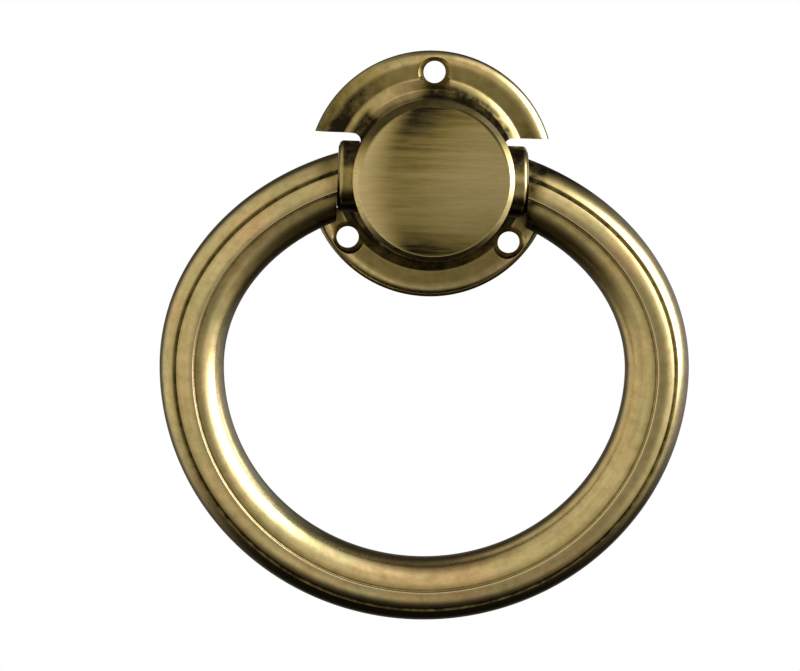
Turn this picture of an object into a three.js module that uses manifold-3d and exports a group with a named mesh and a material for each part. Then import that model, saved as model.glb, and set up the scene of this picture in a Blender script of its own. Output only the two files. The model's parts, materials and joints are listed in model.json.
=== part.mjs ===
// Ring door knocker in antique brass.
// Millimetres, +Z up. The door's face is the plane y = 0 and the knocker stands out of it towards -Y.
// The origin is the centre of the backplate's back face. The ring hangs straight down at rest.

import * as THREE from 'three';
import { mergeVertices } from 'three/addons/utils/BufferGeometryUtils.js';
import Module from 'manifold-3d';

const wasm = await Module();
wasm.setup();

// Driving dimensions
const GAP = 0.2;                 // seam kept between pieces that are screwed together
const SIDES = [['left', -1], ['right', 1]];

// Backplate: a stepped disc with a notch each side for the hub's collars
const PLATE_RADIUS = 28.0;
const PLATE_RIM = 1.0;           // height of the plate's outer edge above the door
const LAND_RADIUS = 25.1;         // the outer edge rounds over from here to the rim
const LAND_HEIGHT = 3.0;
const TIER_FOOT_RADIUS = 21.8;
const TIER_RADIUS = 19.4;
const TIER_HEIGHT = 5.0;
const NOTCH_INNER = 16.2;
const NOTCH_RISE = 9.4;          // the notch's upper edge, over the pivot line
const NOTCH_CORNER = 1.8;
const NOTCH_DROP = 7.4;          // its lower edge, under the pivot line, and the slant of that edge
const NOTCH_DROP_SLANT = 0.115;
const NOTCH_LOWER_CORNER = 1.0;
const SCREW_CIRCLE_RADIUS = 23.5;
const SCREW_CIRCLE_Z = -0.3;
const SCREW_ANGLES = [90, -38.5, -141.5];
const SCREW_HOLE_RADIUS = 2.55;
const COUNTERSINK_RADIUS = 3.75;
const COUNTERSINK_DEPTH = 1.2;

// Pivot line: parallel to X, this far in front of the door
const PIVOT_Y = -9.2;
const PIVOT_Z = -0.4;

// Hub housing: an open drum with a collar cast on each side
const HUB_RADIUS = 17.8;
const HUB_RIM_RADIUS = 17.6;
const HUB_CAVITY_RADIUS = 14.0;
const HUB_FRONT = -17.4;
const COLLAR_RADIUS = 8.0;
const COLLAR_FACE = 21.0;
const COLLAR_CHAMFER = 1.0;
const LUG_RADIUS = 3.2;
const LUG_Z = 12.8;
const LUG_FRONT = -14.0;

// Front cap: a domed disc with two threaded posts behind it
const CAP_RADIUS = 18.0;
const CAP_FRONT = -20.6;
const CAP_DOME_RADIUS = 16.8;
const CAP_DOME_RISE = 0.7;
const CAP_CHAMFER_DEPTH = 0.85;
const SPIGOT_RADIUS = 13.7;
const SPIGOT_DEPTH = 1.6;
const POST_RADIUS = 2.6;
const POST_X = 6.2;
const POST_Z = 8.6;

// Machine screws that hold the hub and the cap to the plate, driven from behind
const FIXING_RADIUS = 1.5;
const FIXING_HOLE_RADIUS = 1.7;
const FIXING_HEAD_RADIUS = 2.8;
const FIXING_HEAD_HEIGHT = 1.6;
const FIXING_POCKET_RADIUS = 3.1;
const FIXING_POCKET_DEPTH = 2.0;
const HUB_SCREW_END = -11.5;
const CAP_SCREW_END = -15.0;

// Pivots: a shoulder screw turning in a flanged bush, with a washer under its head
const BUSH_RADIUS = 3.4;
const BUSH_BORE = 2.28;
const BUSH_FLANGE_RADIUS = 6.9;
const BUSH_FLANGE = 1.0;
const BUSH_FLANGE_PROUD = 0.15;
const SPOT_FACE = 14.4;          // flat seat inside the drum wall
const SPOT_FACE_RADIUS = 3.9;
const WASHER_RADIUS = 3.7;
const WASHER_BORE = 2.4;
const WASHER_THICKNESS = 0.8;
const SHOULDER_RADIUS = 2.2;
const SHOULDER_END = 22.0;
const PIVOT_HEAD_RADIUS = 3.5;
const PIVOT_HEAD_LENGTH = 2.4;
const PIVOT_THREAD_RADIUS = 1.7;
const PIVOT_THREAD_END = 26.6;
const SOCKET_RADIUS = 1.4;
const SOCKET_DEPTH = 1.3;

// Ring: a solid cast bar bent into a flattened loop, open where the hub stands
const RING_WIDTH = 120.0;
const BAR_RADIUS = 7.25;
const RING_END = 21.3;           // distance of each cut end from the middle
const RING_END_DROP = 2.4;       // the bar's middle meets its end this far under the pivot line
const UPPER_RISE = 44.3;         // half-heights of the bar's middle line over and under
const LOWER_DROP = 51.0;         // its widest point
const RING_STEPS = 48;
const SET_SCREW_X = 24.6;
const SET_SCREW_RADIUS = 1.4;
const SET_SCREW_LENGTH = 3.2;

// The bar's section: angles from the outward direction towards the front, mirrored at the back
const GROOVE_ANGLE = 60;
const GROOVE_HALF_ANGLE = 3.5;
const GROOVE_FLOOR_RADIUS = 6.7;
const REED_END_ANGLE = 94;
const REED_STEP_ANGLE = 2.5;
const REED_RADIUS = 7.3;
const INNER_RADIUS = 6.8;

const BRASS = { color: 0x8f7a45, roughness: 0.36, metalness: 1.0 };
const DARK_BRASS = { color: 0x6b5a33, roughness: 0.42, metalness: 1.0 };
const STEEL = { color: 0x8a8c8f, roughness: 0.4, metalness: 1.0 };

// ---------- solids ----------

function toSolid(geometry) {
  const bare = geometry.clone();
  bare.deleteAttribute('normal');
  bare.deleteAttribute('uv');
  const merged = mergeVertices(bare, 1e-4);
  const index = merged.index.array;
  const corners = [];
  for (let i = 0; i < index.length; i += 3) {
    const [a, b, c] = [index[i], index[i + 1], index[i + 2]];
    if (a !== b && b !== c && c !== a) {
      corners.push(a, b, c);
    }
  }
  const vertProperties = new Float32Array(merged.attributes.position.array);
  const triVerts = new Uint32Array(corners);
  return new wasm.Manifold(new wasm.Mesh({ numProp: 3, vertProperties, triVerts }));
}

function toMesh(name, solid, finish) {
  const data = solid.getMesh();
  const geometry = new THREE.BufferGeometry();
  geometry.setAttribute('position', new THREE.BufferAttribute(data.vertProperties, 3));
  geometry.setIndex(new THREE.BufferAttribute(data.triVerts, 1));
  geometry.computeVertexNormals();
  const mesh = new THREE.Mesh(geometry, new THREE.MeshStandardMaterial(finish));
  mesh.name = name;
  return mesh;
}

// Revolves a profile of [radius, y] pairs about the Y axis, listed from the back to the front.
function revolve(profile, segments) {
  const points = profile.map(([radius, y]) => new THREE.Vector2(radius, -y));
  const geometry = new THREE.LatheGeometry(points, segments);
  geometry.rotateX(Math.PI);
  return geometry;
}

// A round bar along Y between two y values, at the given x and z.
function barAlongY(radius, back, front, x, z, segments = 18) {
  const geometry = revolve([[0, back], [radius, back], [radius, front], [0, front]], segments);
  geometry.translate(x, 0, z);
  return toSolid(geometry);
}

// Turns a profile of [radius, distance] pairs about the pivot line, on the side that sign gives.
// Distances count outwards from the middle and are listed from the inside to the outside.
function turnOnPivot(profile, sign, segments = 24) {
  const points = profile.map(([radius, distance]) => new THREE.Vector2(radius, distance));
  const geometry = new THREE.LatheGeometry(points, segments);
  geometry.rotateZ(-sign * Math.PI / 2);
  geometry.translate(0, PIVOT_Y, PIVOT_Z);
  return toSolid(geometry);
}

function barOnPivot(radius, inside, outside, sign, segments = 24) {
  return turnOnPivot([[0, inside], [radius, inside], [radius, outside], [0, outside]], sign, segments);
}

// A hexagon socket along Y, opening towards +Y at the given place.
function socketAlongY(x, open, z) {
  return barAlongY(SOCKET_RADIUS * 0.75, open + 1, open - SOCKET_DEPTH, x, z, 6);
}

// ---------- backplate ----------

function notch(sign) {
  const shape = new THREE.Shape();
  const inner = NOTCH_INNER;
  const outer = PLATE_RADIUS + 5;
  const corner = NOTCH_CORNER;
  const lowerCorner = NOTCH_LOWER_CORNER;
  const outerDrop = NOTCH_DROP + NOTCH_DROP_SLANT * (outer - inner - lowerCorner);
  shape.moveTo(outer, NOTCH_RISE);
  shape.lineTo(inner + corner, NOTCH_RISE);
  shape.absarc(inner + corner, NOTCH_RISE - corner, corner, Math.PI / 2, Math.PI, false);
  shape.lineTo(inner, -NOTCH_DROP + lowerCorner);
  shape.absarc(inner + lowerCorner, -NOTCH_DROP + lowerCorner, lowerCorner, Math.PI, 1.5 * Math.PI, false);
  shape.lineTo(outer, -outerDrop);
  shape.closePath();
  const geometry = new THREE.ExtrudeGeometry(shape, { depth: 20, bevelEnabled: false, curveSegments: 5 });
  geometry.rotateX(Math.PI / 2);
  geometry.translate(0, 10, PIVOT_Z);
  const solid = toSolid(geometry);
  return sign < 0 ? solid.mirror([1, 0, 0]) : solid;
}

function countersunkHole(angle) {
  const turn = THREE.MathUtils.degToRad(angle);
  const x = SCREW_CIRCLE_RADIUS * Math.cos(turn);
  const z = SCREW_CIRCLE_RADIUS * Math.sin(turn) + SCREW_CIRCLE_Z;
  const profile = [
    [0, 5],
    [SCREW_HOLE_RADIUS, 5],
    [SCREW_HOLE_RADIUS, -LAND_HEIGHT + COUNTERSINK_DEPTH],
    [COUNTERSINK_RADIUS, -LAND_HEIGHT],
    [COUNTERSINK_RADIUS, -TIER_HEIGHT - 3],
    [0, -TIER_HEIGHT - 3],
  ];
  const geometry = revolve(profile, 24);
  geometry.translate(x, 0, z);
  return toSolid(geometry);
}

function fixingHole(x, z) {
  const through = barAlongY(FIXING_HOLE_RADIUS, 5, -TIER_HEIGHT - 3, x, z);
  const pocket = barAlongY(FIXING_POCKET_RADIUS, 5, -FIXING_POCKET_DEPTH, x, z);
  return through.add(pocket);
}

const HUB_SCREW_PLACES = [['upper', 0, LUG_Z], ['lower', 0, -LUG_Z]];
const CAP_SCREW_PLACES = [['left', -POST_X, POST_Z], ['right', POST_X, -POST_Z]];

function backplate() {
  const profile = [[0, 0], [PLATE_RADIUS, 0]];
  for (let step = 0; step <= 4; step += 1) {
    const turn = (step / 4) * 0.5 * Math.PI;
    const radius = LAND_RADIUS + (PLATE_RADIUS - LAND_RADIUS) * Math.cos(turn);
    profile.push([radius, -PLATE_RIM - (LAND_HEIGHT - PLATE_RIM) * Math.sin(turn)]);
  }
  profile.push([TIER_FOOT_RADIUS, -LAND_HEIGHT], [TIER_RADIUS, -TIER_HEIGHT], [0, -TIER_HEIGHT]);
  let solid = toSolid(revolve(profile, 60));
  for (const [, sign] of SIDES) {
    solid = solid.subtract(notch(sign));
  }
  for (const angle of SCREW_ANGLES) {
    solid = solid.subtract(countersunkHole(angle));
  }
  for (const [, x, z] of [...HUB_SCREW_PLACES, ...CAP_SCREW_PLACES]) {
    solid = solid.subtract(fixingHole(x, z));
  }
  return toMesh('backplate', solid, BRASS);
}

// ---------- hub ----------

function hubHousing() {
  const back = -TIER_HEIGHT - GAP;
  let solid = toSolid(revolve([
    [0, back],
    [HUB_RADIUS, back],
    [HUB_RIM_RADIUS, HUB_FRONT],
    [0, HUB_FRONT],
  ], 48));
  for (const [, sign] of SIDES) {
    solid = solid.add(turnOnPivot([
      [0, NOTCH_INNER + GAP + 0.1],
      [COLLAR_RADIUS, NOTCH_INNER + GAP + 0.1],
      [COLLAR_RADIUS, COLLAR_FACE - COLLAR_CHAMFER],
      [COLLAR_RADIUS - COLLAR_CHAMFER, COLLAR_FACE],
      [0, COLLAR_FACE],
    ], sign, 40));
  }
  solid = solid.subtract(barAlongY(HUB_CAVITY_RADIUS, back + 5, HUB_FRONT - 5, 0, 0, 48));
  for (const [, x, z] of HUB_SCREW_PLACES) {
    const lug = barAlongY(LUG_RADIUS, back, LUG_FRONT, x, z);
    solid = solid.add(lug.intersect(barAlongY(HUB_RADIUS - 1, back, LUG_FRONT, 0, 0, 48)));
    solid = solid.subtract(barAlongY(FIXING_HOLE_RADIUS, back + 5, HUB_SCREW_END - 1, x, z));
  }
  const flangeSeat = COLLAR_FACE + BUSH_FLANGE_PROUD - BUSH_FLANGE - GAP;
  for (const [, sign] of SIDES) {
    solid = solid.subtract(barOnPivot(BUSH_RADIUS + GAP / 2, 8, COLLAR_FACE + 1, sign));
    solid = solid.subtract(barOnPivot(BUSH_FLANGE_RADIUS + GAP, flangeSeat, COLLAR_FACE + 1, sign));
    solid = solid.subtract(barOnPivot(SPOT_FACE_RADIUS, 8, SPOT_FACE, sign));
  }
  return toMesh('hub_housing', solid, BRASS);
}

function capProfile() {
  const back = HUB_FRONT - GAP;
  const spigotBack = back + SPIGOT_DEPTH;
  const rimY = CAP_FRONT + CAP_DOME_RISE;
  const profile = [
    [0, spigotBack],
    [SPIGOT_RADIUS, spigotBack],
    [SPIGOT_RADIUS, back],
    [CAP_RADIUS, back],
    [CAP_RADIUS, rimY + CAP_CHAMFER_DEPTH],
  ];
  for (let step = 4; step >= 0; step -= 1) {
    const share = step / 4;
    profile.push([CAP_DOME_RADIUS * share, CAP_FRONT + CAP_DOME_RISE * share * share]);
  }
  return profile;
}

function frontCap() {
  let solid = toSolid(revolve(capProfile(), 48));
  for (const [, x, z] of CAP_SCREW_PLACES) {
    solid = solid.add(barAlongY(POST_RADIUS, -TIER_HEIGHT - 2 * GAP, HUB_FRONT - 1, x, z));
    solid = solid.subtract(barAlongY(FIXING_HOLE_RADIUS, 0, CAP_SCREW_END - 1, x, z));
  }
  return toMesh('front_cap', solid, BRASS);
}

// A pan-headed machine screw driven in from the door side.
function fixingScrew(name, x, z, end) {
  const seat = -FIXING_POCKET_DEPTH + GAP;
  const head = barAlongY(FIXING_HEAD_RADIUS, seat + FIXING_HEAD_HEIGHT, seat, x, z);
  const shank = barAlongY(FIXING_RADIUS, seat + 0.5, end, x, z);
  const solid = head.add(shank).subtract(socketAlongY(x, seat + FIXING_HEAD_HEIGHT, z));
  return toMesh(name, solid, STEEL);
}

// ---------- pivots ----------

function bush(name, sign) {
  const inside = SPOT_FACE + GAP;
  const flangeBack = COLLAR_FACE + BUSH_FLANGE_PROUD - BUSH_FLANGE;
  const face = COLLAR_FACE + BUSH_FLANGE_PROUD;
  const body = turnOnPivot([
    [0, inside],
    [BUSH_RADIUS, inside],
    [BUSH_RADIUS, flangeBack],
    [BUSH_FLANGE_RADIUS, flangeBack],
    [BUSH_FLANGE_RADIUS, face],
    [0, face],
  ], sign);
  return toMesh(name, body.subtract(barOnPivot(BUSH_BORE, inside - 5, face + 5, sign)), DARK_BRASS);
}

function washer(name, sign) {
  const outside = SPOT_FACE - GAP;
  const disc = barOnPivot(WASHER_RADIUS, outside - WASHER_THICKNESS, outside, sign);
  const hole = barOnPivot(WASHER_BORE, outside - 5, outside + 5, sign);
  return toMesh(name, disc.subtract(hole), STEEL);
}

function pivotScrew(name, sign) {
  const headOutside = SPOT_FACE - 2 * GAP - WASHER_THICKNESS;
  const headInside = headOutside - PIVOT_HEAD_LENGTH;
  const screw = turnOnPivot([
    [0, headInside],
    [PIVOT_HEAD_RADIUS, headInside],
    [PIVOT_HEAD_RADIUS, headOutside],
    [SHOULDER_RADIUS, headOutside],
    [SHOULDER_RADIUS, SHOULDER_END],
    [PIVOT_THREAD_RADIUS, SHOULDER_END],
    [PIVOT_THREAD_RADIUS, PIVOT_THREAD_END],
    [0, PIVOT_THREAD_END],
  ], sign);
  const socket = barOnPivot(SOCKET_RADIUS, headInside - 1, headInside + SOCKET_DEPTH, sign, 6);
  return toMesh(name, screw.subtract(socket), STEEL);
}

// ---------- ring ----------

// The bar's middle line, from its left end down round the bottom to its right end.
class RingLine extends THREE.Curve {
  constructor() {
    super();
    this.halfWidth = RING_WIDTH / 2 - BAR_RADIUS;
    const faceAngle = Math.acos(RING_END / this.halfWidth);
    this.endAngle = Math.acos((RING_END - 4) / this.halfWidth);
    this.centreZ = PIVOT_Z - RING_END_DROP - UPPER_RISE * Math.sin(faceAngle);
  }

  getPoint(t, target = new THREE.Vector3()) {
    const angle = Math.PI - this.endAngle + t * (Math.PI + 2 * this.endAngle);
    const halfHeight = Math.sin(angle) > 0 ? UPPER_RISE : LOWER_DROP;
    const x = this.halfWidth * Math.cos(angle);
    return target.set(x, PIVOT_Y, this.centreZ + halfHeight * Math.sin(angle));
  }
}

// The bar's section as [angle, radius] pairs from the outermost point round the front to the innermost.
function frontHalfSection() {
  const grooveStart = GROOVE_ANGLE - GROOVE_HALF_ANGLE;
  const grooveEnd = GROOVE_ANGLE + GROOVE_HALF_ANGLE;
  const half = [];
  for (let step = 0; step <= 3; step += 1) {
    half.push([grooveStart * step / 3, BAR_RADIUS]);
  }
  half.push([GROOVE_ANGLE, GROOVE_FLOOR_RADIUS]);
  for (let step = 0; step <= 2; step += 1) {
    half.push([grooveEnd + (REED_END_ANGLE - grooveEnd) * step / 2, REED_RADIUS]);
  }
  const innerStart = REED_END_ANGLE + REED_STEP_ANGLE;
  for (let step = 0; step <= 4; step += 1) {
    const share = step / 4;
    half.push([innerStart + (180 - innerStart) * share, INNER_RADIUS + (BAR_RADIUS - INNER_RADIUS) * share]);
  }
  return half;
}

function barSection() {
  const half = frontHalfSection();
  const backHalf = half.slice(1, -1).reverse().map(([angle, radius]) => [360 - angle, radius]);
  const points = [...half, ...backHalf].map(([angle, radius]) => {
    const turn = THREE.MathUtils.degToRad(angle);
    return new THREE.Vector2(radius * Math.sin(turn), radius * Math.cos(turn));
  });
  return new THREE.Shape(points);
}

// The threaded hole for a set screw, from the back of the bar in to the pivot's thread.
function setScrewHole(sign) {
  const radius = SET_SCREW_RADIUS + 0.15;
  return barAlongY(radius, 0, PIVOT_Y + PIVOT_THREAD_RADIUS, sign * SET_SCREW_X, PIVOT_Z, 16);
}

function ring() {
  const bar = new THREE.ExtrudeGeometry(barSection(), { steps: RING_STEPS, extrudePath: new RingLine() });
  let solid = toSolid(bar);
  const gap = new THREE.BoxGeometry(2 * RING_END, 4 * BAR_RADIUS, 40);
  gap.translate(0, PIVOT_Y, PIVOT_Z);
  solid = solid.subtract(toSolid(gap));
  for (const [, sign] of SIDES) {
    const thread = barOnPivot(PIVOT_THREAD_RADIUS + GAP, RING_END - 1, PIVOT_THREAD_END + GAP, sign);
    const shoulder = barOnPivot(SHOULDER_RADIUS + GAP, RING_END - 1, SHOULDER_END + GAP, sign);
    solid = solid.subtract(thread).subtract(shoulder).subtract(setScrewHole(sign));
  }
  return toMesh('ring', solid, BRASS);
}

// A headless screw behind each ring end, which locks the pivot screw's thread.
function setScrew(name, sign) {
  const tip = PIVOT_Y + PIVOT_THREAD_RADIUS + GAP;
  const back = tip + SET_SCREW_LENGTH;
  const screw = barAlongY(SET_SCREW_RADIUS, back, tip, sign * SET_SCREW_X, PIVOT_Z, 16);
  return toMesh(name, screw.subtract(socketAlongY(sign * SET_SCREW_X, back, PIVOT_Z)), STEEL);
}

// ---------- assembly ----------

function knocker() {
  const group = new THREE.Group();
  group.add(backplate(), hubHousing(), frontCap());
  for (const [place, x, z] of HUB_SCREW_PLACES) {
    group.add(fixingScrew(`${place}_hub_screw`, x, z, HUB_SCREW_END));
  }
  for (const [place, x, z] of CAP_SCREW_PLACES) {
    group.add(fixingScrew(`${place}_cap_screw`, x, z, CAP_SCREW_END));
  }
  for (const [side, sign] of SIDES) {
    group.add(bush(`${side}_bush`, sign), washer(`${side}_washer`, sign));
  }
  const swinging = new THREE.Group();
  swinging.add(ring());
  for (const [side, sign] of SIDES) {
    swinging.add(pivotScrew(`${side}_pivot_screw`, sign), setScrew(`${side}_set_screw`, sign));
  }
  group.add(swinging);
  return group;
}

export default knocker();
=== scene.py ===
"""Ring door knocker in antique brass: the looks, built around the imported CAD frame.

Metres, +Z up. The door's face is the plane y = 0 and the knocker stands out of it towards -Y.
"""

import json
import math

import bmesh
import bpy
import numpy as np
from mathutils import Matrix, Vector


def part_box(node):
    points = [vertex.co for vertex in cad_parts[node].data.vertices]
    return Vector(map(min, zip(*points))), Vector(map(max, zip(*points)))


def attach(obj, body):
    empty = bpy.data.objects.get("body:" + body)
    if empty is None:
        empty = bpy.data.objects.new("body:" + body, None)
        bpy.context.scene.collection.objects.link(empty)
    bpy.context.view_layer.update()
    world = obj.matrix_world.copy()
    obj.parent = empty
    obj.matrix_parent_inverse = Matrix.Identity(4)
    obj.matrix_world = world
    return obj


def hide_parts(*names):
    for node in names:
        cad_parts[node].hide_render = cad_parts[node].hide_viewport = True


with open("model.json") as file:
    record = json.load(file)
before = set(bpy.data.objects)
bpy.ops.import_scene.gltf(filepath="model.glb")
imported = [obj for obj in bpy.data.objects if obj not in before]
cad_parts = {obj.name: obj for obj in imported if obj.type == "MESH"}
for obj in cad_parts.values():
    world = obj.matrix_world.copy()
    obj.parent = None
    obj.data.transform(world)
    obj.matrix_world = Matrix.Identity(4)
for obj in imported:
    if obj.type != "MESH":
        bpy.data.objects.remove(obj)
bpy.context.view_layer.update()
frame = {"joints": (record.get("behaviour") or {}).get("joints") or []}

MM = 0.001
GAP = 0.2 * MM
SIDES = (("left", -1), ("right", 1))
MERGE_DISTANCE = 1e-7
SHARP_DEGREES = 38

# ---------- sizes from the frame ----------

PLATE_LOW, PLATE_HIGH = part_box("backplate")
HUB_LOW, HUB_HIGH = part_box("hub_housing")
CAP_LOW, CAP_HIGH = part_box("front_cap")
RING_LOW, RING_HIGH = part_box("ring")
PIVOT = Vector(frame["joints"][0]["pos_m"])

PLATE_RADIUS = PLATE_HIGH.z
TIER_HEIGHT = -PLATE_LOW.y
HUB_FRONT = HUB_LOW.y
HUB_BACK = -TIER_HEIGHT - GAP
HUB_RADIUS = HUB_HIGH.z
COLLAR_FACE = HUB_HIGH.x
CAP_RADIUS = CAP_HIGH.x
CAP_FRONT = CAP_LOW.y
CAP_BACK = HUB_FRONT - GAP

# Backplate
PLATE_RIM = 1.0 * MM
LAND_RADIUS = 25.1 * MM
LAND_HEIGHT = 3.0 * MM
TIER_FOOT_RADIUS = 21.8 * MM
TIER_RADIUS = 19.4 * MM
NOTCH_INNER = 16.2 * MM
NOTCH_RISE = 9.4 * MM
NOTCH_CORNER = 1.8 * MM
NOTCH_DROP = 7.4 * MM
NOTCH_DROP_SLANT = 0.115
NOTCH_LOWER_CORNER = 1.0 * MM
SCREW_CIRCLE_RADIUS = 23.5 * MM
SCREW_CIRCLE_Z = -0.3 * MM
SCREW_ANGLES = (90, -38.5, -141.5)
SCREW_HOLE_RADIUS = 2.55 * MM
COUNTERSINK_RADIUS = 3.75 * MM
COUNTERSINK_DEPTH = 1.2 * MM
PLATE_BEVEL = 0.16 * MM
OVERSHOOT = 5 * MM
CUT_FRONT = -TIER_HEIGHT - 3 * MM
NOTCH_CUT = 20 * MM

# Hub and cap
HUB_RIM_RADIUS = 17.6 * MM
HUB_CAVITY_RADIUS = 14.0 * MM
COLLAR_RADIUS = 8.0 * MM
COLLAR_CHAMFER = 1.0 * MM
COLLAR_START = NOTCH_INNER + 0.3 * MM
HUB_BEVEL = 0.2 * MM
LUG_RADIUS = 3.2 * MM
LUG_FRONT = -14.0 * MM
CAP_DOME_RADIUS = 16.8 * MM
CAP_DOME_RISE = 0.7 * MM
CAP_CHAMFER_DEPTH = 0.85 * MM
CAP_DOME_RINGS = 24
SPIGOT_RADIUS = 13.7 * MM
SPIGOT_DEPTH = 1.6 * MM
POST_RADIUS = 2.6 * MM

# Screws and pivots
FIXING_RADIUS = 1.5 * MM
FIXING_HOLE_RADIUS = 1.7 * MM
FIXING_POCKET_RADIUS = 3.1 * MM
FIXING_POCKET_DEPTH = 2.0 * MM
BUSH_RADIUS = 3.4 * MM
BUSH_BORE = 2.28 * MM
BUSH_FLANGE = 1.0 * MM
BUSH_BORE_START = 8 * MM
SPOT_FACE = 14.4 * MM
SPOT_FACE_RADIUS = 3.9 * MM
WASHER_BORE = 2.4 * MM
PIVOT_HEAD_LENGTH = 2.4 * MM
SHOULDER_RADIUS = 2.2 * MM
SHOULDER_END = 22.0 * MM
PIVOT_THREAD_RADIUS = 1.7 * MM
THREAD_PITCH = 0.5 * MM
THREAD_DEPTH = 0.22 * MM
THREAD_CREST = 0.06 * MM
THREAD_FLANK = 0.25 * MM
THREAD_STOP = 0.4 * MM
FIXING_TIP_TAPER = 0.6 * MM
TIP_TAPER = 0.7 * MM
SOCKET_RADIUS = 1.2 * MM
SOCKET_DEPTH = 1.3 * MM

# Ring
BAR_RADIUS = 7.25 * MM
RING_END = 21.23 * MM
RING_END_DROP = 2.4 * MM
UPPER_RISE = 44.3 * MM
LOWER_DROP = 51.0 * MM
GROOVE_ANGLE = 60.0
GROOVE_HALF_ANGLE = 4.8
GROOVE_DEPTH = 0.42 * MM
REED_END_ANGLE = 93.6
REED_STEP_ANGLE = 3.2
REED_RADIUS = 7.3 * MM
INNER_RADIUS = 6.8 * MM
RING_STATIONS = 420
RING_END_SPARE = 4 * MM
COLLAR_ZONE = -20 * MM
UV_SCALE = 10


# ---------- mesh helpers ----------

def mesh_object(name, vertices, faces):
    mesh = bpy.data.meshes.new(name)
    mesh.from_pydata([tuple(v) for v in vertices], [], faces)
    mesh.update()
    piece = bpy.data.objects.new(name, mesh)
    bpy.context.scene.collection.objects.link(piece)
    return piece


def close_and_orient(piece):
    """Joins vertices that lie on each other and points every face outwards."""
    work = bmesh.new()
    work.from_mesh(piece.data)
    bmesh.ops.remove_doubles(work, verts=work.verts, dist=MERGE_DISTANCE)
    bmesh.ops.recalc_face_normals(work, faces=work.faces)
    work.to_mesh(piece.data)
    work.free()


def smooth_shade(piece):
    for face in piece.data.polygons:
        face.use_smooth = True
    piece.data.set_sharp_from_angle(angle=math.radians(SHARP_DEGREES))


def rounded(points, radii, steps=5):
    """A polyline whose inner corners are replaced by arcs of the given radii (0 keeps the corner)."""
    out = [Vector(points[0])]
    for i in range(1, len(points) - 1):
        corner = Vector(points[i])
        radius = radii[i]
        if radius <= 0:
            out.append(corner)
            continue
        back = (Vector(points[i - 1]) - corner).normalized()
        ahead = (Vector(points[i + 1]) - corner).normalized()
        half = back.angle(ahead) / 2
        reach = radius / math.tan(half)
        centre = corner + (back + ahead).normalized() * (radius / math.sin(half))
        start = (corner + back * reach - centre).normalized()
        end = (corner + ahead * reach - centre).normalized()
        for k in range(steps + 1):
            out.append(centre + start.slerp(end, k / steps) * radius)
    out.append(Vector(points[-1]))
    return out


def lathe(name, profile, segments=192, axis="Y", centre=(0, 0, 0), sign=1):
    """Turns (radius, distance) points about a line along the axis through centre.
    A point on the axis becomes one vertex, and a profile that ends where it starts makes a tube."""
    vertices = []
    rows = []
    for radius, distance in profile:
        count = 1 if radius < 1e-9 else segments
        rows.append(list(range(len(vertices), len(vertices) + count)))
        for k in range(count):
            turn = 2 * math.pi * k / segments
            side, rise = radius * math.cos(turn), radius * math.sin(turn)
            along = distance * sign
            local = (side, along, rise) if axis == "Y" else (along, side, rise)
            vertices.append(Vector(local) + Vector(centre))
    faces = []
    for low, high in zip(rows, rows[1:]):
        if len(low) == 1 and len(high) == 1:
            continue
        for k in range(segments):
            after = (k + 1) % segments
            if len(low) == 1:
                faces.append((low[0], high[k], high[after]))
            elif len(high) == 1:
                faces.append((low[k], high[0], low[after]))
            else:
                faces.append((low[k], high[k], high[after], low[after]))
    piece = mesh_object(name, vertices, faces)
    close_and_orient(piece)
    return piece


def bar(name, radius, low, high, axis, centre, sign=1, segments=64):
    """A round bar between two distances along the axis."""
    profile = [(0, low), (radius, low), (radius, high), (0, high)]
    return lathe(name, profile, segments, axis, centre, sign)


def prism(name, outline, low, high):
    """A solid along Y over a closed outline of (x, z) points."""
    count = len(outline)
    vertices = [(x, low, z) for x, z in outline] + [(x, high, z) for x, z in outline]
    faces = [tuple(range(count)), tuple(range(2 * count - 1, count - 1, -1))]
    faces += [(i, (i + 1) % count, count + (i + 1) % count, count + i) for i in range(count)]
    piece = mesh_object(name, vertices, faces)
    close_and_orient(piece)
    return piece


def apply_modifiers(piece):
    depsgraph = bpy.context.evaluated_depsgraph_get()
    evaluated = piece.evaluated_get(depsgraph)
    mesh = bpy.data.meshes.new_from_object(evaluated)
    piece.modifiers.clear()
    old = piece.data
    piece.data = mesh
    bpy.data.meshes.remove(old)


def boolean(piece, tools, operation="DIFFERENCE"):
    """Cuts, joins or intersects with the tools one after another, and deletes them."""
    for tool in tools:
        modifier = piece.modifiers.new("boolean", "BOOLEAN")
        modifier.operation = operation
        modifier.solver = "EXACT"
        modifier.object = tool
        apply_modifiers(piece)
        close_and_orient(piece)
        bpy.data.objects.remove(tool)


def soften_edges(piece, width, angle=32):
    modifier = piece.modifiers.new("bevel", "BEVEL")
    modifier.width = width
    modifier.segments = 2
    modifier.limit_method = "ANGLE"
    modifier.angle_limit = math.radians(angle)
    modifier.use_clamp_overlap = True
    apply_modifiers(piece)
    close_and_orient(piece)


def give(piece, material, slot, body, *nodes):
    """Material, body and the CAD nodes that the piece stands for. The slot is not used."""
    piece.data.materials.clear()
    piece.data.materials.append(material)
    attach(piece, body)
    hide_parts(*nodes)


# ---------- materials ----------

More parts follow.
